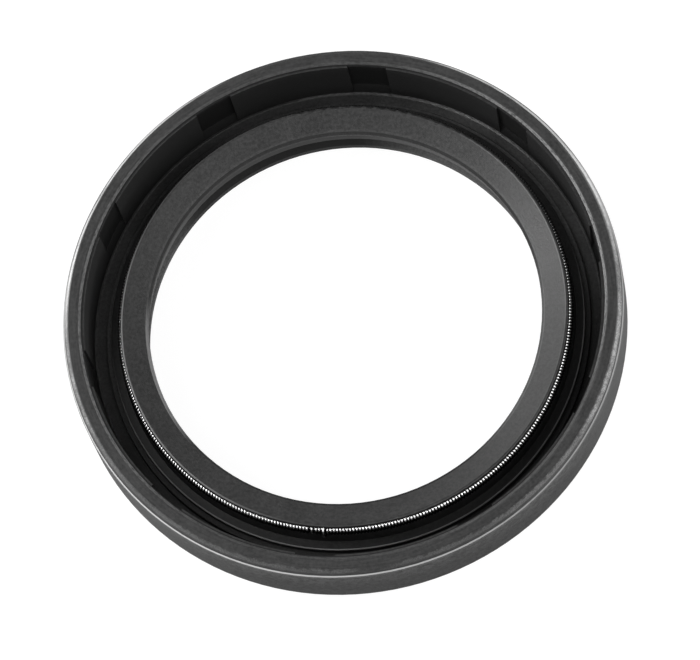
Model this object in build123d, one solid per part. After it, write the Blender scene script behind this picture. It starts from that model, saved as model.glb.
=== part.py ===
from build123d import *
import os

# Radial shaft seal: rubber-covered steel case, spring-loaded lip and a dust lip behind it.
# Millimetres. +Z points to the spring side and the origin is the centre of the back face.

# Driving sizes: the shaft and the seal's width
shaft_d = 40.0
width = 8.0

# Sealing lip and the head that carries it
lip_squeeze = 0.65
lip_land = 0.3
lip_bevel_w = 0.25
lip_bevel_h = 0.13
head_depth = 2.72
face_fall = 0.98
head_edge_r = 0.25
head_wall_h = 0.5
lip_edge_r = 0.05
air_side_h = 1.5
air_side_w = 0.27

# Garter spring and its groove
coil_d = 1.2
wire_d = 0.3
spring_inset = 0.22
spring_cover = 1.21

# Flex section and the hollow between the two lips
flex_foot_w = 0.48
flex_top_w = 0.31
flex_h = 1.7
groove_lip_h = 0.6
hollow_w = 1.65
hollow_h = 0.7
hollow_r = 0.3

# Stepped bead over the inner end of the flange, from the flex section outwards
bead_top_w = 0.85
bead_top_rise = 0.18
high_step_h = 0.67
high_step_draft = 0.05
low_step_w = 0.49
low_step_h = 0.62
low_step_draft = 0.06
bead_edge_r = 0.07

# Steel case: an L-section ring bent from sheet, with the rubber that covers it
sheet = 0.9
bend_inside_r = 0.5
flange_end_w = 0.06
back_cover = 0.45
floor_cover = 0.43
rim_cover = 0.5
cover = 1.05

# Floor of the trough and lining of the case, which starts on a ledge below the rim
floor_w = 1.22
floor_corner_r = 0.22
lining_foot = 0.33
lining_top = 0.2
ledge_drop = 0.25

# Notches in the lining, left by the pins that hold the case in the mould
notch_count = 10
notch_deg = 8.8
notch_ramp_h = 1.6
first_notch_deg = 0.0

# Chamfers and edges of the outer cover
rear_chamfer_h = 1.75
rear_chamfer_w = 0.9
front_chamfer_h = 0.9
front_chamfer_w = 0.66
front_edge_r = 0.3
cover_edge_r = 0.2
rim_bevel_w = 0.3
rim_bevel_h = 0.16
rim_bevel_r = 0.8

# Dust lip
dust_squeeze = 0.04
dust_drop = 0.17
dust_land = 0.66
dust_slope_w = 0.5
dust_slope_h = 0.34
dust_root_h = 0.38
back_recess_w = 1.5
back_recess_slope = 0.25
back_recess_h = 0.4

# Radii worked out from the shaft outwards
lip_r = shaft_d / 2 - lip_squeeze
head_r = lip_r + head_depth
spring_r = head_r - spring_inset
bead_inner_r = head_r + flex_foot_w
flex_top_r = bead_inner_r - flex_top_w
high_step_r = bead_inner_r + bead_top_w
low_step_in_r = high_step_r + high_step_draft
low_step_r = low_step_in_r + low_step_w
bead_outer_r = low_step_r + low_step_draft
lining_foot_r = bead_outer_r + floor_w
case_inner_r = lining_foot_r + lining_foot
lining_top_r = case_inner_r - lining_top
case_outer_r = case_inner_r + sheet
outer_r = case_outer_r + cover
air_side_r = lip_r + air_side_w
hollow_wall_r = lip_r + hollow_w
dust_r = shaft_d / 2 - dust_squeeze
back_inner_r = dust_r + back_recess_w

# Heights worked out from the back face upwards
flange_top_z = back_cover + sheet
floor_z = flange_top_z + floor_cover
low_step_z = floor_z + low_step_h
high_step_z = low_step_z + high_step_h
bead_top_z = high_step_z + bead_top_rise
spring_z = bead_top_z + flex_h
flex_top_z = spring_z - groove_lip_h
head_z = spring_z + spring_cover
face_in_z = head_z - face_fall
land_top_z = face_in_z - lip_bevel_h
land_low_z = land_top_z - lip_land
air_side_low_z = land_low_z - air_side_h
dust_high_z = dust_drop + dust_land
hollow_low_z = dust_high_z + dust_slope_h + dust_root_h
hollow_high_z = hollow_low_z + hollow_h


def closed(*points):
    """Closed flat outline through points given as (radius, height)."""
    return make_face(Polyline(*points, close=True))


def rounded(section, radius, height, edge_r):
    """The section with its corner nearest to the given place rounded."""
    corner = section.vertices().sort_by_distance((radius, height, 0))[0]
    return fillet(corner, edge_r)


def turned(section):
    """The section turned once round the seal's axis."""
    return revolve(Plane.XZ * section, Axis.Z, 360)


def case_section():
    """Sheet bent into an L: a cylinder, and a flange that points inwards at the back."""
    section = closed(
        (case_outer_r, width - rim_cover),
        (case_inner_r, width - rim_cover),
        (case_inner_r, flange_top_z),
        (bead_inner_r + flange_end_w, flange_top_z),
        (bead_inner_r + flange_end_w, back_cover),
        (case_outer_r, back_cover),
    )
    section = rounded(section, case_inner_r, flange_top_z, bend_inside_r)
    return rounded(section, case_outer_r, back_cover, bend_inside_r + sheet)


def cover_section():
    """Outer cover, front rim and lining, solid across the case that is cut out of it later."""
    section = closed(
        (lining_foot_r, 0),
        (outer_r - rear_chamfer_w, 0),
        (outer_r, rear_chamfer_h),
        (outer_r, width - front_chamfer_h),
        (outer_r - front_chamfer_w, width),
        (case_inner_r + rim_bevel_w, width),
        (case_inner_r, width - rim_bevel_h),
        (case_inner_r, width - ledge_drop),
        (lining_top_r, width - ledge_drop),
        (lining_foot_r, floor_z),
    )
    section = rounded(section, outer_r, width - front_chamfer_h, front_edge_r)
    section = rounded(section, outer_r, rear_chamfer_h, cover_edge_r)
    return rounded(section, case_inner_r + rim_bevel_w, width, rim_bevel_r)


def floor_section():
    """Cover of the flange and the two steps of the bead on its inner end."""
    section = closed(
        (back_inner_r, 0),
        (lining_foot_r, 0),
        (lining_foot_r, floor_z),
        (bead_outer_r, floor_z),
        (low_step_r, low_step_z),
        (low_step_in_r, low_step_z),
        (high_step_r, high_step_z),
        (bead_inner_r, bead_top_z),
        (hollow_wall_r, hollow_high_z),
        (hollow_wall_r, hollow_low_z),
    )
    section = rounded(section, low_step_r, low_step_z, bead_edge_r)
    return rounded(section, high_step_r, high_step_z, bead_edge_r)


def head_section():
    """Sealing head: front face, lip edge with its land, air side and the spring's groove."""
    section = closed(
        (lip_r, land_low_z),
        (lip_r, land_top_z),
        (lip_r + lip_bevel_w, face_in_z),
        (head_r, head_z),
        (head_r, head_z - head_wall_h),
        (spring_r, spring_z + coil_d / 2),
        (spring_r, spring_z),
        (flex_top_r, spring_z),
        (flex_top_r, flex_top_z),
        (bead_inner_r, bead_top_z),
        (hollow_wall_r, hollow_high_z),
        (air_side_r, air_side_low_z),
    )
    section = rounded(section, head_r, head_z, min(head_edge_r, head_wall_h / 2))
    section = rounded(section, lip_r + lip_bevel_w, face_in_z, lip_edge_r)
    section = rounded(section, lip_r, land_top_z, lip_edge_r)
    section = rounded(section, lip_r, land_low_z, lip_edge_r)
    return section - Pos(spring_r, spring_z) * Circle(coil_d / 2)


def dust_lip_section():
    """Dust lip: a short lip at the back whose edge just touches the shaft."""
    return closed(
        (dust_r, dust_drop),
        (dust_r, dust_high_z),
        (dust_r + dust_slope_w, dust_high_z + dust_slope_h),
        (hollow_wall_r, hollow_low_z),
        (back_inner_r, 0),
        (back_inner_r - back_recess_slope, back_recess_h),
    )


def rubber_section():
    """The whole moulding's section, with the hollow between its lips rounded."""
    section = cover_section() + floor_section() + head_section() + dust_lip_section()
    section = rounded(section, lining_foot_r, floor_z, floor_corner_r)
    section = rounded(section, hollow_wall_r, hollow_high_z, hollow_r)
    return rounded(section, hollow_wall_r, hollow_low_z, hollow_r)


def notches():
    """Gaps in the lining that lay the case bare and run out in a steep ramp above the floor."""
    ring = turned(
        closed(
            (lining_foot_r - lining_foot, floor_z + floor_corner_r),
            (lining_foot_r, floor_z + floor_corner_r),
            (case_inner_r, floor_z + notch_ramp_h),
            (case_inner_r, width - ledge_drop),
            (lining_foot_r - lining_foot, width - ledge_drop),
        )
    )
    wedge = revolve(
        Plane.XZ * Pos(outer_r / 2, width / 2) * Rectangle(outer_r, 2 * width),
        Axis.Z,
        notch_deg,
    )
    cuts = Part()
    for index in range(notch_count):
        turn = first_notch_deg + index * 360 / notch_count - notch_deg / 2
        cuts += ring & (Rot(Z=turn) * wedge)
    return cuts


def garter_spring_section():
    """Wall of the close-wound coil, as thick as its wire, cut across the ring."""
    return Pos(spring_r, spring_z) * (Circle(coil_d / 2) - Circle(coil_d / 2 - wire_d))


def build():
    """Each node's name with its solid."""
    case = turned(case_section())
    rubber = turned(rubber_section()) - case - notches()
    return {
        "rubber_body": rubber,
        "metal_case": case,
        "garter_spring": turned(garter_spring_section()),
    }


os.makedirs("parts", exist_ok=True)
for node, solid in build().items():
    export_step(solid, "parts/" + node + ".step")
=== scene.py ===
import math

import bpy
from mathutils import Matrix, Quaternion, Vector

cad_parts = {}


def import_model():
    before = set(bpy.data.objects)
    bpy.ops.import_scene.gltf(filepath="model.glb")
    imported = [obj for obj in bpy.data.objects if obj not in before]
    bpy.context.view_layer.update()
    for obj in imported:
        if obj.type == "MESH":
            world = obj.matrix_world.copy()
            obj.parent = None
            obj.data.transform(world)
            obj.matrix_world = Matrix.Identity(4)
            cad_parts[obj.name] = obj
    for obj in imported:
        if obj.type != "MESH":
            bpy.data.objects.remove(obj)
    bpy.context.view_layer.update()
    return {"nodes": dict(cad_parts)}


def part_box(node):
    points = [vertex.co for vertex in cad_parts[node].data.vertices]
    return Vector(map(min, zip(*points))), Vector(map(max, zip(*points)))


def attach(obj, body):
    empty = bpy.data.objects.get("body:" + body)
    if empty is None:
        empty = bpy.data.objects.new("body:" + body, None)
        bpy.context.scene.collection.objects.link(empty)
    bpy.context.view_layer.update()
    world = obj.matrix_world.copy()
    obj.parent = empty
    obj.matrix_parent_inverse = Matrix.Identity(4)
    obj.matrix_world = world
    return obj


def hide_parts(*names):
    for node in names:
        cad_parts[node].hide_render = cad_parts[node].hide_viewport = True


MM = 0.001

# Camera: where it stands, what it looks at and how it leans, fitted to the photograph
CAMERA_PLACE = Vector((0.01247, -0.16514, 0.41400))
CAMERA_AIM = Vector((0.00031, -0.00274, 0.00800))
CAMERA_ROLL = math.radians(-17.85)
CAMERA_LENS = 232.1
CAMERA_SENSOR = 36.0
CAMERA_CLIP = (0.01, 20.0)

# Lamps round the seal: tilt from overhead, direction from +X in degrees, and brightness
LAMP_DISTANCE = 0.9
LAMP_ACROSS = math.radians(26)
LAMPS = {
    "left_back": (54, 160, 8.5),
    "left_front": (54, 200, 4.5),
    "left_low": (78, 160, 5.5),
    "right_low": (78, 0, 6.1),
    "right_back": (78, 40, 3.3),
    "right_front": (78, 320, 1.8),
    "right_high": (54, 0, 2.0),
    "back_high": (54, 120, 1.9),
    "back_low": (78, 120, 1.3),
    "left_overhead": (28, 150, 0.7),
    "front_left": (46, 248, 2.3),
    "front": (46, 290, 2.4),
    "front_right": (46, 330, 4.2),
}
WORLD_LEVEL = 0.06

# Floor just under the seal: its own grey, and how much it glows where it is seen, up to white
FLOOR_SIZE = 3.0
FLOOR_GAP = 0.02 * MM
FLOOR_TONES = (0.19, 0.21)
FLOOR_SPECKLE = 900.0
FLOOR_ROUGHNESS = 0.8
FLOOR_SPECULAR = 0.2
FLOOR_GLOW = 0.90

# Garter spring: close-wound wire with a joint on the near side, between two slits and with a lifted end
WIRE_D = 0.30 * MM
WIRE_SIDES = 8
STEPS_A_TURN = 16
COIL_TURNS = 438
NEAR_SIDE = math.radians(270)
JOINT_START = math.radians(249.4)
JOINT_TURNS = 4
JOINT_SLIT = 0.16 * MM
LOOSE_GAP = 0.10 * MM
END_TURNS_BACK = 1.6
END_LIFT = 0.26 * MM
END_SWEEP = math.radians(165)

# Main edges of the moulding's section, in millimetres: lip, head, bead, lining, case, trough and cover
LIP_R = 19.35
LIP_Z = 5.05
HEAD_R = 22.07
HEAD_Z = 6.16
BEAD_R = 23.40
BEAD_Z = 3.07
LINING_R = 25.22
CASE_R = 25.55
TROUGH_Z = 1.78
OUTER_R = 27.50
RIM_Z = 8.00

# Parts of the section that its finish follows: lowest and highest radius, then the same of height
TROUGH = ((HEAD_R + 0.13, CASE_R - 0.02), (TROUGH_Z - 0.28, RIM_Z - 0.30))
LINING = ((LINING_R - 0.22, CASE_R - 0.02), (TROUGH_Z + 0.27, RIM_Z - 0.30))
BEAD = ((HEAD_R + 0.13, BEAD_R - 0.04), (BEAD_Z - 0.47, LIP_Z - 0.05))
LIP_BACK = ((LIP_R - 1.35, HEAD_R - 0.67), (0.10, LIP_Z - 0.35))
LIP_EDGE = ((LIP_R - 1.35, LIP_R + 0.22), (LIP_Z - 0.45, LIP_Z + 0.15))
FACE = ((LIP_R + 0.25, HEAD_R - 0.37), (LIP_Z + 0.05, HEAD_Z - 0.06))
HEAD_WALL = ((HEAD_R - 0.09, HEAD_R + 0.13), (HEAD_Z - 0.56, HEAD_Z - 0.19))
RIM = ((CASE_R + 0.25, OUTER_R - 0.72), (RIM_Z - 0.10, RIM_Z + 0.10))
# Band of painted shade just under the rim's inner edge
RIM_SHADE_BAND = ((CASE_R - 0.01, CASE_R + 0.08), (RIM_Z - 0.23, RIM_Z - 0.08))
CHAMFER = ((OUTER_R - 0.64, OUTER_R + 0.10), (RIM_Z - 1.00, RIM_Z - 0.03))
WALL = ((OUTER_R - 0.06, OUTER_R + 0.50), (TROUGH_Z + 0.12, RIM_Z - 0.90))

# Narrow places of its marks, in the same way
# Painted highlight on the rim's inner edge
RIM_EDGE = ((CASE_R + 0.11, CASE_R + 0.31), (RIM_Z - 0.20, RIM_Z + 0.10))
# Bloom on the chamfer, partly real bloom and partly painted highlight; below it a painted highlight line
# on the far side
BLOOM_AND_HIGHLIGHT = ((OUTER_R - 0.53, OUTER_R - 0.28), (RIM_Z - 0.56, RIM_Z - 0.14))
FAR_HIGHLIGHT_LINE = ((OUTER_R - 0.44, OUTER_R - 0.16), (RIM_Z - 0.70, RIM_Z - 0.30))
SCUFFS = ((OUTER_R - 0.80, OUTER_R - 0.34), (RIM_Z - 0.40, RIM_Z + 0.10))
# Painted highlight where the chamfer meets the outer wall
CORNER_HIGHLIGHT = ((OUTER_R - 0.16, OUTER_R + 0.10), (RIM_Z - 0.83, RIM_Z - 0.71))
# Painted highlights on the edges of the lip, the lining's foot and the head
LAND_LINE = ((LIP_R - 0.02, LIP_R + 0.07), (LIP_Z - 0.35, LIP_Z - 0.21))
FACE_LINE = ((LIP_R + 0.29, LIP_R + 0.43), (LIP_Z + 0.05, LIP_Z + 0.27))
FOOT_LINE = ((LINING_R - 0.12, LINING_R + 0.12), (TROUGH_Z + 0.02, TROUGH_Z + 0.24))
LIP_BEVEL = ((LIP_R + 0.01, LIP_R + 0.27), (LIP_Z + 0.01, LIP_Z + 0.15))
HEAD_LINE = ((HEAD_R - 0.24, HEAD_R - 0.15), (HEAD_Z - 0.26, HEAD_Z - 0.06))
HEAD_INNER_LINE = ((HEAD_R - 0.38, HEAD_R - 0.30), (HEAD_Z - 0.26, HEAD_Z - 0.06))
# Painted highlight on the bead's outer edge
BEAD_EDGE = ((BEAD_R - 0.10, BEAD_R + 0.02), (BEAD_Z - 0.12, BEAD_Z + 0.05))

# Sides of the ring that marks keep to: direction in degrees, and cosines where they start and are full
RIGHT = (15, 0.60, 1.0)
LEFT = (175, 0.50, 1.0)
LIP_BACK_LEFT = (160, 0.80, 0.97)
LIP_BACK_RIGHT = (35, 0.75, 0.95)
BLOOM_AND_HIGHLIGHT_RIGHT = (-14, 0.78, 1.0)
BLOOM_AND_HIGHLIGHT_LEFT = (170, 0.80, 1.0)
FAR_LEFT = (138, 0.80, 0.97)
FAR_RIGHT = (32, 0.80, 0.97)
SCUFFS_RIGHT = (315, 0.85, 1.0)
SCUFFS_BARE = (265, 0.996, 0.999)
CORNER_HIGHLIGHT_LEFT = (225, 0.10, 0.90)
BEVEL_LEFT = (184, 0.90, 0.99)
BEVEL_RIGHT = (332, 0.80, 0.98)
LAND_RIGHT = (40, 0.50, 1.0)
FOOT_BACK = (62, 0.85, 0.98)
HEAD_LEFT = (190, 0.55, 0.95)
HEAD_RIGHT = (15, 0.80, 0.98)

# Parts of the ring by how far north or east a direction points: where they start and are full
NEAR = (0.20, -0.40)
FAR = (-0.10, 0.50)
BACK = (0.20, 0.60)
EAST = (-0.10, 0.50)
TROUGH_SIDES = (0.40, 1.0)
WALL_SIDES = (0.50, 1.0)

# Levels of a pattern at which its patches start and are full
GRAIN_PATCHES = (0.30, 0.70)
BLOTCH_PATCHES = (0.35, 0.65)
DUST_PATCHES = (0.35, 0.65)
BLOOM_PATCHES = (0.25, 0.62)
FAR_LEFT_PATCHES = (0.15, 0.50)
FAR_HIGHLIGHT_PATCHES = (0.20, 0.60)
CORNER_HIGHLIGHT_PATCHES = (0.10, 0.45)
BEVEL_PATCHES = (0.20, 0.50)
LINE_BREAKS = (0.35, 0.60)
RIM_BREAKS = (0.30, 0.60)

# How light the rubber is, from 0 for black to 1 for white; a pair is blended from first to second
RUBBER_TONE = 0.032
# Trough: painted shade on the near side, painted light on the far side, lightest towards the sides
TROUGH_NEAR_SHADE_TONE = 0.022
TROUGH_FAR_LIT_TONES = (0.042, 0.085)
# Painted shade on the lining, deep in the trough
LINING_SHADE_TONE = 0.005
# Painted shade on the bead under the head, deeper on the near side (far, then near)
BEAD_SHADE_TONES = (0.024, 0.016)
# Painted shade on the lip's back and on its edge below the face, with painted light on the left and right
# of the lip's back
LIP_BACK_SHADE_TONE = 0.004
LIP_BACK_LEFT_LIGHT = 0.07
LIP_BACK_RIGHT_LIGHT = 0.08
LIP_EDGE_SHADE_TONE = 0.012
# Outer wall: painted sheen on its sides; elsewhere mottled in blotches and specks
WALL_SIDE_SHEEN_TONE = 0.042
WALL_BLOTCH_TONE = 0.034
WALL_SPECK_TONE = 0.026
# Painted shade on the head's outer wall, under its edge
HEAD_WALL_SHADE_TONE = 0.002
# Face: painted light on the near side (far, then near) and painted shade on the left
FACE_LIT_TONES = (0.034, 0.042)
FACE_LEFT_SHADE_TONE = 0.027
# Painted shade in the band under the rim's inner edge
RIM_SHADE_BAND_TONE = 0.003
RIM_DUST_TONE = 0.016
CHAMFER_TONE = 0.02
# Chamfer: real bloom in patches with painted highlight on the lit sides; the far-left patches and the far
# line are painted highlights
BLOOM_AND_HIGHLIGHT_TONES = (0.03, 0.24)
FAR_LEFT_HIGHLIGHT_TONE = 0.16
FAR_HIGHLIGHT_TONES = (0.20, 0.55)
SCUFF_TONES = (0.020, 0.062)
# Painted highlight on the chamfer's outer corner
CORNER_HIGHLIGHT_TONES = (0.30, 0.60)
# Painted highlights on the lip's land, face and bevel, the lining's foot and the head's edge
LAND_HIGHLIGHT = 0.03
LAND_RIGHT_HIGHLIGHT = 0.07
FACE_LINE_HIGHLIGHT = 0.018
FOOT_LINE_HIGHLIGHT = 0.07
BEVEL_LEFT_HIGHLIGHT = 0.16
BEVEL_RIGHT_HIGHLIGHT = 0.07
HEAD_LEFT_HIGHLIGHT = 0.11
HEAD_RIGHT_HIGHLIGHT = 0.08
HEAD_NEAR_HIGHLIGHT = 0.020
# Painted highlights on the rim's inner edge, strongest on the right and left, and on the bead's edge on
# the near side
RIM_EDGE_HIGHLIGHT = 0.028
RIM_RIGHT_HIGHLIGHT = 0.15
RIM_LEFT_HIGHLIGHT = 0.07
BEAD_EDGE_HIGHLIGHT = 0.20

# How much the rubber's patterns darken and lighten it, as factors
MOTTLE = (0.72, 1.28)
CLOUDING = (0.70, 1.30)
FACE_STREAKS = (0.97, 1.03)
FACE_RINGS = (0.80, 1.20)
BLOOM_SPECKS = (0.45, 1.55)
BLOOM_BLOTCHES = (0.55, 1.30)
SCUFFS_RIGHT_GAIN = (1.0, 1.8)
# The wall's mottle is darker towards the bottom
WALL_GAIN = (0.5, 1.7)
WALL_GAIN_Z = (RIM_Z - 4.50, RIM_Z - 1.10)

# Inner border of the scuffs, and how far the blotches shift it, in millimetres
SCUFFS_BORDER = (OUTER_R - 0.54, OUTER_R - 0.42)
SCUFFS_RAGGED = 0.22

# Roughness of the rubber
RUBBER_ROUGHNESS = (0.33, 0.45)
LIP_BACK_ROUGHNESS = 0.80
LIP_EDGE_ROUGHNESS = 0.75
RIM_SHADE_BAND_ROUGHNESS = 0.85
LINING_ROUGHNESS = (0.80, 0.40)
WALL_ROUGHNESS = (0.66, 0.84)
HEAD_WALL_ROUGHNESS = 0.85
CHAMFER_ROUGHNESS = (0.40, 1.0)

# Sheet steel of the case
CASE_TONES = (0.003, 0.009)
CASE_STREAKS = (0.8, 1.2)
CASE_ROUGHNESS = (0.42, 0.62)

# Wire of the spring: bright, with painted shade between its turns and on the outer flank of the coil, but
# not on two turns near the joint
WIRE_TONES = (0.74, 0.90)
WIRE_ROUGHNESS = (0.20, 0.30)
SHADE_BETWEEN_TURNS = (0.40, 0.88)
SHADE_BETWEEN_TONE = 0.05
SHADED_FLANK_R = (HEAD_R + 0.15, HEAD_R + 0.29)
SHADED_FLANK_TONE = 0.04
UNSHADED_TURNS = ((249.7, 0.99986, 0.99995), (252.9, 0.99986, 0.99995))


def deselect_all():
    if bpy.context.object and bpy.context.object.mode != "OBJECT":
        bpy.ops.object.mode_set(mode="OBJECT")
    bpy.ops.object.select_all(action="DESELECT")


def make_active(piece):
    deselect_all()
    piece.select_set(True)
    bpy.context.view_layer.objects.active = piece


def place_in_mesh(piece):
    """The piece's place, turn and scale go into its mesh, and its object sits at the origin."""
    make_active(piece)
    bpy.ops.object.transform_apply(location=True, rotation=True, scale=True)


def apply_modifier(piece, modifier):
    make_active(piece)
    bpy.ops.object.modifier_apply(modifier=modifier.name)


def dress(piece, material):
    piece.data.materials.clear()
    piece.data.materials.append(material)


# Node helpers


class Number:
    """A number that a node gives; plus, minus and times join it to another by a Math node."""

    def __init__(self, socket):
        self.socket = socket
        self.tree = socket.id_data

    def __add__(self, other):
        return maths(self.tree, "ADD", self, other)

    def __sub__(self, other):
        return maths(self.tree, "SUBTRACT", self, other)

    def __rsub__(self, other):
        return maths(self.tree, "SUBTRACT", other, self)

    def __mul__(self, other):
        return maths(self.tree, "MULTIPLY", self, other)

    def __abs__(self):
        return maths(self.tree, "ABSOLUTE", self)


def new_material(name):
    material = bpy.data.materials.new(name)
    material.use_nodes = True
    tree = material.node_tree
    return material, tree, tree.nodes["Principled BSDF"]


def add_node(tree, kind, **settings):
    made = tree.nodes.new(kind)
    for name, value in settings.items():
        setattr(made, name, value)
    return made


def plug(value, socket):
    """Links a node's number to the socket, or writes a plain number into it."""
    if isinstance(value, Number):
        value.tree.links.new(value.socket, socket)
    else:
        socket.default_value = value


def maths(tree, operation, *values):
    made = add_node(tree, "ShaderNodeMath", operation=operation)
    for value, socket in zip(values, made.inputs):
        plug(value, socket)
    return Number(made.outputs[0])


def step_up(number, low, high):
    """0 at low and 1 at high, with a smooth rise between them and level beyond them."""
    made = add_node(number.tree, "ShaderNodeMapRange", interpolation_type="SMOOTHSTEP")
    plug(number, made.inputs["Value"])
    made.inputs["From Min"].default_value = low
    made.inputs["From Max"].default_value = high
    return Number(made.outputs["Result"])


def band(number, low, high, soft):
    """1 between low and high, falling to 0 over the soft width on both sides."""
    return step_up(number, low - soft, low) * (1 - step_up(number, high, high + soft))


def blend(factor, first, second):
    """The first value where the factor is 0, and the second where it is 1."""
    made = add_node(factor.tree, "ShaderNodeMix", data_type="FLOAT")
    plug(factor, made.inputs["Factor"])
    plug(first, made.inputs["A"])
    plug(second, made.inputs["B"])
    return Number(made.outputs["Result"])


def grey(number):
    """The socket of a grey as light as the number."""
    made = add_node(number.tree, "ShaderNodeCombineColor")
    for socket in made.inputs:
        plug(number, socket)
    return made.outputs["Color"]


def noise(vector, scale=1.0, detail=3.0, roughness=0.55):
    tree = vector.id_data
    made = add_node(tree, "ShaderNodeTexNoise")
    tree.links.new(vector, made.inputs["Vector"])
    made.inputs["Scale"].default_value = scale
    made.inputs["Detail"].default_value = detail
    made.inputs["Roughness"].default_value = roughness
    return Number(made.outputs["Fac"])


def bump(height, distance, strength, normal=None):
    made = add_node(height.tree, "ShaderNodeBump")
    made.inputs["Distance"].default_value = distance
    made.inputs["Strength"].default_value = strength
    plug(height, made.inputs["Height"])
    if normal is not None:
        height.tree.links.new(normal, made.inputs["Normal"])
    return made.outputs["Normal"]


class RingPlace:
    """Where a point lies on the seal: radius and height in millimetres, and direction round the axis."""

    def __init__(self, tree):
        self.tree = tree
        coordinates = add_node(tree, "ShaderNodeTexCoord").outputs["Object"]
        scaled = add_node(tree, "ShaderNodeMapping")
        scaled.inputs["Scale"].default_value = (1 / MM, 1 / MM, 1 / MM)
        tree.links.new(coordinates, scaled.inputs["Vector"])
        self.point = scaled.outputs["Vector"]
        parts = add_node(tree, "ShaderNodeSeparateXYZ")
        tree.links.new(self.point, parts.inputs[0])
        self.height = Number(parts.outputs["Z"])
        flat = add_node(tree, "ShaderNodeCombineXYZ")
        tree.links.new(parts.outputs["X"], flat.inputs["X"])
        tree.links.new(parts.outputs["Y"], flat.inputs["Y"])
        length = add_node(tree, "ShaderNodeVectorMath", operation="LENGTH")
        tree.links.new(flat.outputs[0], length.inputs[0])
        self.radius = Number(length.outputs["Value"])
        direction = add_node(tree, "ShaderNodeVectorMath", operation="NORMALIZE")
        tree.links.new(flat.outputs[0], direction.inputs[0])
        self.direction = direction.outputs["Vector"]
        ways = add_node(tree, "ShaderNodeSeparateXYZ")
        tree.links.new(self.direction, ways.inputs[0])
        self.east = Number(ways.outputs["X"])
        self.north = Number(ways.outputs["Y"])

    def within(self, part, soft=0.04):
        """1 in one part of the section, falling to 0 round it over the soft width in millimetres."""
        radii, heights = part
        return band(self.radius, *radii, soft) * band(self.height, *heights, soft)

    def on_side(self, side):
        """1 on one side of the ring, falling to 0 away from it."""
        degrees, start, full = side
        turn = math.radians(degrees)
        return step_up(self.east * math.cos(turn) + self.north * math.sin(turn), start, full)

    def stretched(self, round_scale, across_scale):
        """Pattern space: cells per radian round the ring, and cells per millimetre across it."""
        tree = self.tree
        turned = add_node(tree, "ShaderNodeVectorMath", operation="SCALE")
        tree.links.new(self.direction, turned.inputs[0])
        turned.inputs["Scale"].default_value = round_scale
        lift = add_node(tree, "ShaderNodeCombineXYZ")
        plug((self.radius + self.height) * across_scale, lift.inputs["Z"])
        total = add_node(tree, "ShaderNodeVectorMath", operation="ADD")
        tree.links.new(turned.outputs[0], total.inputs[0])
        tree.links.new(lift.outputs[0], total.inputs[1])
        return total.outputs[0]


# Black rubber


class RubberPlace(RingPlace):
    """A place on the moulding, with the patterns of its rubber and the halves of the ring."""

    def __init__(self, tree):
        super().__init__(tree)
        self.grain = noise(self.point, scale=3.4, detail=5.0, roughness=0.7)
        self.clouds = noise(self.point, scale=0.35)
        self.radial = noise(self.stretched(round_scale=170.0, across_scale=0.5))
        self.rings = noise(self.stretched(round_scale=9.0, across_scale=5.0), detail=5.0, roughness=0.65)
        self.ragged = noise(self.stretched(round_scale=60.0, across_scale=8.0), detail=4.0, roughness=0.6)
        self.mottle = step_up(self.grain, *GRAIN_PATCHES)
        self.specks = step_up(noise(self.point, scale=7.5, roughness=0.7), *GRAIN_PATCHES)
        blotches = noise(self.point, scale=1.5, detail=5.0, roughness=0.75)
        self.blotches = step_up(blotches, *BLOTCH_PATCHES)
        self.near = step_up(self.north, *NEAR)
        self.far = step_up(self.north, *FAR)
        self.back = step_up(self.north, *BACK)
        self.sideways = abs(self.east)


def rubber_tone(place):
    """How light each part of the moulding is, before the marks on its edges, with painted shade and
    painted light by part and by side of the ring.
    """
    trough_far_lit = blend(step_up(place.sideways, *TROUGH_SIDES), *TROUGH_FAR_LIT_TONES)
    # Painted light on the lip's back, on its left and right
    lip_back_left_light = place.on_side(LIP_BACK_LEFT) * LIP_BACK_LEFT_LIGHT
    lip_back_right_light = place.on_side(LIP_BACK_RIGHT) * LIP_BACK_RIGHT_LIGHT
    wall = place.blotches * WALL_BLOTCH_TONE + place.specks * WALL_SPECK_TONE
    wall = wall * blend(step_up(place.height, *WALL_GAIN_Z), *WALL_GAIN)
    tone = RUBBER_TONE
    for part, part_tone in (
        # Painted shade in the near trough, painted light in the far trough
        (TROUGH, blend(place.near, trough_far_lit, TROUGH_NEAR_SHADE_TONE)),
        # Painted shade on the lining
        (LINING, LINING_SHADE_TONE),
        # Painted shade on the bead, deeper on the near side
        (BEAD, blend(place.near, *BEAD_SHADE_TONES)),
        # Painted shade on the lip's back, lightened by painted light on two sides
        (LIP_BACK, lip_back_left_light + lip_back_right_light + LIP_BACK_SHADE_TONE),
        # Painted shade on the lip's edge
        (LIP_EDGE, LIP_EDGE_SHADE_TONE),
        # Outer wall: mottled, darker towards the bottom, with painted sheen on the sides
        (WALL, blend(step_up(place.sideways, *WALL_SIDES), wall, WALL_SIDE_SHEEN_TONE)),
        # Painted shade under the head's edge
        (HEAD_WALL, HEAD_WALL_SHADE_TONE),
        # Face lighter on the near side and darker on the left: painted light and shade
        (FACE, blend(place.on_side(LEFT), blend(place.near, *FACE_LIT_TONES), FACE_LEFT_SHADE_TONE)),
    ):
        tone = blend(place.within(part), tone, part_tone)
    tone = tone * blend(place.mottle, *MOTTLE) * blend(place.clouds, *CLOUDING)
    streaks = blend(step_up(place.radial, *GRAIN_PATCHES), *FACE_STREAKS)
    return tone * blend(place.within(FACE), 1.0, streaks * blend(place.rings, *FACE_RINGS))


def dust_on_rim(place, tone):
    return tone + place.within(RIM) * (step_up(place.rings, *DUST_PATCHES) * RIM_DUST_TONE)


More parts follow.
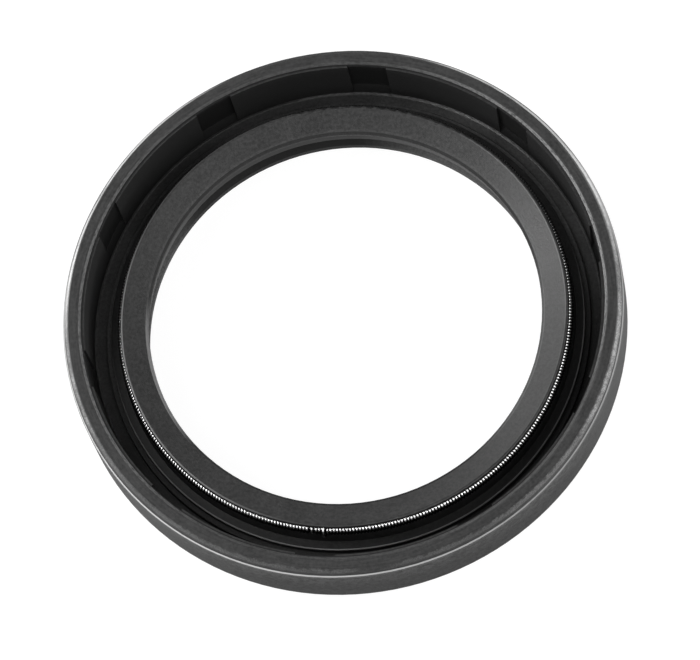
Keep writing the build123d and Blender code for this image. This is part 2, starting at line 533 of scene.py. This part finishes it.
def bloom_and_highlights_on_chamfer(place, tone):
    """Pale bloom in patches, partly real bloom and partly painted highlight, on both sides and far left,
    and a painted highlight line lower down on the far side.
    """
    # Bloom in patches, partly real and partly painted highlight on both sides
    chamfer_bloom_and_highlight = blend(place.on_side(BLOOM_AND_HIGHLIGHT_RIGHT) + place.on_side(BLOOM_AND_HIGHLIGHT_LEFT), *BLOOM_AND_HIGHLIGHT_TONES)
    chamfer_bloom_and_highlight = chamfer_bloom_and_highlight * step_up(place.rings, *BLOOM_PATCHES)
    chamfer_bloom_and_highlight = chamfer_bloom_and_highlight * blend(place.specks, *BLOOM_SPECKS) * blend(place.blotches, *BLOOM_BLOTCHES)
    far_left = place.on_side(FAR_LEFT)
    patches = far_left * step_up(place.rings, *FAR_LEFT_PATCHES)
    chamfer_bloom_and_highlight = chamfer_bloom_and_highlight * (1 - place.back) + patches * FAR_LEFT_HIGHLIGHT_TONE + CHAMFER_TONE
    tone = blend(place.within(BLOOM_AND_HIGHLIGHT, soft=0.06), tone, chamfer_bloom_and_highlight)
    # Painted highlight line on the far side, in patches
    line = blend(step_up(place.rings, *FAR_HIGHLIGHT_PATCHES), *FAR_HIGHLIGHT_TONES)
    line = (place.on_side(FAR_RIGHT) + far_left) * line
    return tone + place.within(FAR_HIGHLIGHT_LINE, soft=0.05) * line


def scuffs_on_chamfer(place, tone):
    """Grainy scuffs on the upper half of the near chamfer, with a ragged inner border."""
    scuffs = step_up(place.radius + place.blotches * SCUFFS_RAGGED, *SCUFFS_BORDER)
    scuffs = scuffs * (1 - place.on_side(SCUFFS_BARE))
    scuffs = scuffs * blend(place.specks, *SCUFF_TONES)
    scuffs = scuffs * blend(place.on_side(SCUFFS_RIGHT), *SCUFFS_RIGHT_GAIN) * place.near
    return tone + place.within(SCUFFS, soft=0.10) * scuffs


def highlight_on_corner(place, tone):
    """Painted highlight where the chamfer meets the outer wall, brightest near on the left."""
    corner_light = blend(place.on_side(CORNER_HIGHLIGHT_LEFT), *CORNER_HIGHLIGHT_TONES)
    corner_light = corner_light * step_up(place.rings, *CORNER_HIGHLIGHT_PATCHES) * (1 - place.back)
    return blend(place.within(CORNER_HIGHLIGHT, soft=0.03), tone, corner_light)


def edge_highlights(place, tone):
    """Painted highlights on the edges of the land, the face, the lining's foot, the bevel and the head.
    """
    land = (place.on_side(LAND_RIGHT) * LAND_RIGHT_HIGHLIGHT + LAND_HIGHLIGHT) * place.far
    broken = step_up(place.ragged, *LINE_BREAKS)
    bevel = place.on_side(BEVEL_LEFT) * BEVEL_LEFT_HIGHLIGHT + place.on_side(BEVEL_RIGHT) * BEVEL_RIGHT_HIGHLIGHT
    near_right = place.near * step_up(place.east, *EAST)
    head_right = place.on_side(HEAD_RIGHT) * HEAD_RIGHT_HIGHLIGHT + near_right * HEAD_NEAR_HIGHLIGHT
    for line, soft, line_tone in (
        (LAND_LINE, 0.03, land * broken),
        (FACE_LINE, 0.03, place.far * FACE_LINE_HIGHLIGHT * broken),
        (FOOT_LINE, 0.03, place.on_side(FOOT_BACK) * FOOT_LINE_HIGHLIGHT * broken),
        (LIP_BEVEL, 0.05, bevel * step_up(place.rings, *BEVEL_PATCHES)),
        (HEAD_LINE, 0.05, place.on_side(HEAD_LEFT) * HEAD_LEFT_HIGHLIGHT),
        (HEAD_INNER_LINE, 0.05, head_right),
    ):
        tone = tone + place.within(line, soft) * line_tone
    return tone


def trough_edge_highlights_and_shade(place, tone):
    """Painted highlight on the inner edge of the rim over a band of painted shade, and a painted
    highlight on the edge of the bead.
    """
    # Painted highlight on the rim's inner edge, broken in places
    edge = place.on_side(RIGHT) * RIM_RIGHT_HIGHLIGHT + place.on_side(LEFT) * RIM_LEFT_HIGHLIGHT + RIM_EDGE_HIGHLIGHT
    edge = edge * step_up(place.ragged, *RIM_BREAKS)
    tone = tone + place.within(RIM_EDGE, soft=0.08) * edge
    # Painted shade in a band under it
    tone = blend(place.within(RIM_SHADE_BAND, soft=0.03), tone, RIM_SHADE_BAND_TONE)
    # Painted highlight on the bead's edge, near side
    return tone + place.within(BEAD_EDGE) * (place.near * BEAD_EDGE_HIGHLIGHT)


def rubber_roughness(place):
    roughness = blend(place.mottle, *RUBBER_ROUGHNESS)
    for part, part_roughness in (
        (LIP_BACK, LIP_BACK_ROUGHNESS),
        (LIP_EDGE, LIP_EDGE_ROUGHNESS),
        (RIM_SHADE_BAND, RIM_SHADE_BAND_ROUGHNESS),
        (LINING, blend(place.near, *LINING_ROUGHNESS)),
        (WALL, blend(place.mottle, *WALL_ROUGHNESS)),
        (HEAD_WALL, HEAD_WALL_ROUGHNESS),
        (CHAMFER, blend(place.back, *CHAMFER_ROUGHNESS)),
    ):
        roughness = blend(place.within(part), roughness, part_roughness)
    return roughness


def black_rubber_finish():
    """Satin black rubber: darker in the trough by painted shade, with pale bloom and painted highlights
    on the chamfer, and painted highlights along the edges.
    """
    material, tree, shader = new_material("black_rubber_finish")
    place = RubberPlace(tree)
    tone = rubber_tone(place)
    marks = (dust_on_rim, bloom_and_highlights_on_chamfer, scuffs_on_chamfer, highlight_on_corner, edge_highlights, trough_edge_highlights_and_shade)
    for add_mark in marks:
        tone = add_mark(place, tone)
    tree.links.new(grey(tone), shader.inputs["Base Color"])
    plug(rubber_roughness(place), shader.inputs["Roughness"])
    fine = bump(place.grain, distance=0.03 * MM, strength=0.6)
    brushed = bump(place.radial, distance=0.02 * MM, strength=0.03, normal=fine)
    tree.links.new(brushed, shader.inputs["Normal"])
    return material


# Steel


def case_steel_finish():
    """Dark phosphated sheet steel, seen only through the notches."""
    material, tree, shader = new_material("case_steel_finish")
    place = RingPlace(tree)
    crystals = noise(place.point, scale=14.0, detail=5.0, roughness=0.7)
    drawn = noise(place.stretched(round_scale=260.0, across_scale=0.4))
    tone = blend(crystals, *CASE_TONES) * blend(drawn, *CASE_STREAKS)
    tree.links.new(grey(tone), shader.inputs["Base Color"])
    plug(blend(crystals, *CASE_ROUGHNESS), shader.inputs["Roughness"])
    tree.links.new(bump(crystals, distance=0.01 * MM, strength=0.4), shader.inputs["Normal"])
    return material


def spring_steel_finish():
    """Bright hard-drawn wire with faint drawing marks, with painted shade between the turns and on the
    outer flank.
    """
    material, tree, shader = new_material("spring_steel_finish")
    place = RingPlace(tree)
    tarnish = noise(place.point, scale=1.2, detail=4.0)
    drawn = noise(place.point, scale=22.0, detail=2.0)
    facing = add_node(tree, "ShaderNodeSeparateXYZ")
    tree.links.new(add_node(tree, "ShaderNodeTexCoord").outputs["Normal"], facing.inputs[0])
    along = Number(facing.outputs["X"]) * place.north - Number(facing.outputs["Y"]) * place.east
    tone = blend(tarnish, *WIRE_TONES)
    # Painted shade where the wire's surface faces the neighbouring turns
    tone = blend(step_up(abs(along), *SHADE_BETWEEN_TURNS), tone, SHADE_BETWEEN_TONE)
    # Painted shade on the outer flank of the coil, left off two turns near the joint
    flank_shade = step_up(place.radius, *SHADED_FLANK_R)
    for unshaded_turn in UNSHADED_TURNS:
        flank_shade = flank_shade * (1 - place.on_side(unshaded_turn))
    tone = blend(flank_shade, tone, SHADED_FLANK_TONE)
    tree.links.new(grey(tone), shader.inputs["Base Color"])
    shader.inputs["Metallic"].default_value = 1.0
    plug(blend(drawn, *WIRE_ROUGHNESS), shader.inputs["Roughness"])
    return material


# Garter spring


def wound_wire(name, start, turns, pitch, coil_r, sweep=2 * math.pi):
    """Wire wound on a straight axis along X, from the top of the coil at the given x."""
    deselect_all()
    wire_r = WIRE_D / 2
    bpy.ops.mesh.primitive_circle_add(
        vertices=WIRE_SIDES,
        radius=wire_r,
        location=(start, 0, coil_r - wire_r),
        rotation=(math.pi / 2, 0, 0),
    )
    piece = bpy.context.object
    piece.name = name
    place_in_mesh(piece)
    screw = piece.modifiers.new("winding", "SCREW")
    screw.axis = "X"
    screw.angle = sweep
    screw.screw_offset = pitch * sweep / (2 * math.pi)
    screw.iterations = turns
    screw.steps = STEPS_A_TURN
    screw.render_steps = STEPS_A_TURN
    apply_modifier(piece, screw)
    bpy.ops.object.mode_set(mode="EDIT")
    bpy.ops.mesh.select_all(action="SELECT")
    bpy.ops.mesh.fill_holes(sides=WIRE_SIDES)
    bpy.ops.mesh.select_all(action="SELECT")
    bpy.ops.mesh.normals_make_consistent(inside=False)
    bpy.ops.object.mode_set(mode="OBJECT")
    return piece


def garter_coil():
    """Lengths of coil on one straight axis, bent round together into the ring that the CAD node marks."""
    low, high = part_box("garter_spring")
    coil_r = (high.z - low.z) / 2
    ring_r = high.x - coil_r
    around = 2 * math.pi * ring_r
    pitch = (around - 2 * JOINT_SLIT - LOOSE_GAP) / COIL_TURNS
    loose_x = (JOINT_START - NEAR_SIDE) * ring_r
    joint_x = loose_x + pitch + LOOSE_GAP
    main_x = joint_x + (JOINT_TURNS - 1) * pitch + JOINT_SLIT
    end_x = joint_x + (JOINT_TURNS - END_TURNS_BACK) * pitch
    loose = wound_wire("garter_loose_turn", loose_x, 1, pitch, coil_r)
    joint = wound_wire("garter_joint", joint_x, JOINT_TURNS - 1, pitch, coil_r)
    main = wound_wire("garter_coil", main_x, COIL_TURNS - JOINT_TURNS, pitch, coil_r)
    lifted = wound_wire("garter_end", end_x, 1, pitch, coil_r + END_LIFT, END_SWEEP)
    make_active(main)
    for part in (loose, joint, lifted):
        part.select_set(True)
    bpy.ops.object.join()
    along = [vertex.co.x for vertex in main.data.vertices]
    ring = main.modifiers.new("ring", "SIMPLE_DEFORM")
    ring.deform_method = "BEND"
    ring.deform_axis = "Z"
    ring.angle = (max(along) - min(along)) / ring_r
    apply_modifier(main, ring)
    main.location = (0, -ring_r, (low.z + high.z) / 2)
    place_in_mesh(main)
    bpy.ops.object.shade_smooth()
    return main


# Stage


def seen_rays(tree):
    """1 for rays that show the background: straight from the camera, mirrored or refracted."""
    rays = add_node(tree, "ShaderNodeLightPath").outputs
    total = Number(rays["Is Camera Ray"]) + Number(rays["Is Glossy Ray"])
    return maths(tree, "MINIMUM", total + Number(rays["Is Transmission Ray"]), 1.0)


def floor():
    deselect_all()
    bpy.ops.mesh.primitive_plane_add(size=FLOOR_SIZE, location=(0, 0, -FLOOR_GAP))
    piece = bpy.context.object
    piece.name = "floor"
    material, tree, shader = new_material("floor_white")
    speckle = noise(add_node(tree, "ShaderNodeTexCoord").outputs["Object"], FLOOR_SPECKLE)
    tree.links.new(grey(blend(speckle, *FLOOR_TONES)), shader.inputs["Base Color"])
    shader.inputs["Roughness"].default_value = FLOOR_ROUGHNESS
    shader.inputs["Specular IOR Level"].default_value = FLOOR_SPECULAR
    shader.inputs["Emission Color"].default_value = (1, 1, 1, 1)
    plug(seen_rays(tree) * FLOOR_GLOW, shader.inputs["Emission Strength"])
    piece.data.materials.append(material)
    return piece


def world():
    made = bpy.data.worlds.new("studio")
    bpy.context.scene.world = made
    made.use_nodes = True
    background = made.node_tree.nodes["Background"]
    background.inputs["Color"].default_value = (1, 1, 1, 1)
    background.inputs["Strength"].default_value = WORLD_LEVEL


def softbox(name, tilt, direction, radiance):
    """Round lamp that faces the seal, placed by its tilt from overhead and its direction from +X."""
    tilt = math.radians(tilt)
    direction = math.radians(direction)
    flat = Vector((math.cos(direction), math.sin(direction), 0))
    way = math.sin(tilt) * flat + Vector((0, 0, math.cos(tilt)))
    data = bpy.data.lights.new(name, "AREA")
    data.shape = "DISK"
    data.size = 2 * LAMP_DISTANCE * math.tan(LAMP_ACROSS / 2)
    disk_area = math.pi * data.size**2 / 4
    data.energy = radiance * math.pi * disk_area
    lamp = bpy.data.objects.new(name, data)
    bpy.context.scene.collection.objects.link(lamp)
    lamp.location = way * LAMP_DISTANCE
    lamp.rotation_euler = way.to_track_quat("Z", "Y").to_euler()


def camera():
    data = bpy.data.cameras.new("camera")
    data.lens = CAMERA_LENS
    data.sensor_width = CAMERA_SENSOR
    data.clip_start, data.clip_end = CAMERA_CLIP
    made = bpy.data.objects.new("camera", data)
    bpy.context.scene.collection.objects.link(made)
    made.location = CAMERA_PLACE
    look = (CAMERA_AIM - CAMERA_PLACE).to_track_quat("-Z", "Y")
    made.rotation_mode = "QUATERNION"
    made.rotation_quaternion = look @ Quaternion((0, 0, 1), CAMERA_ROLL)
    bpy.context.scene.camera = made


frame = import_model()
bpy.context.scene.view_settings.view_transform = "Standard"
camera()
world()
for name, (tilt, direction, radiance) in LAMPS.items():
    softbox(name, tilt, direction, radiance)
floor()

dress(frame["nodes"]["rubber_body"], black_rubber_finish())
dress(frame["nodes"]["metal_case"], case_steel_finish())
coil = garter_coil()
dress(coil, spring_steel_finish())
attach(coil, "root")
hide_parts("garter_spring")
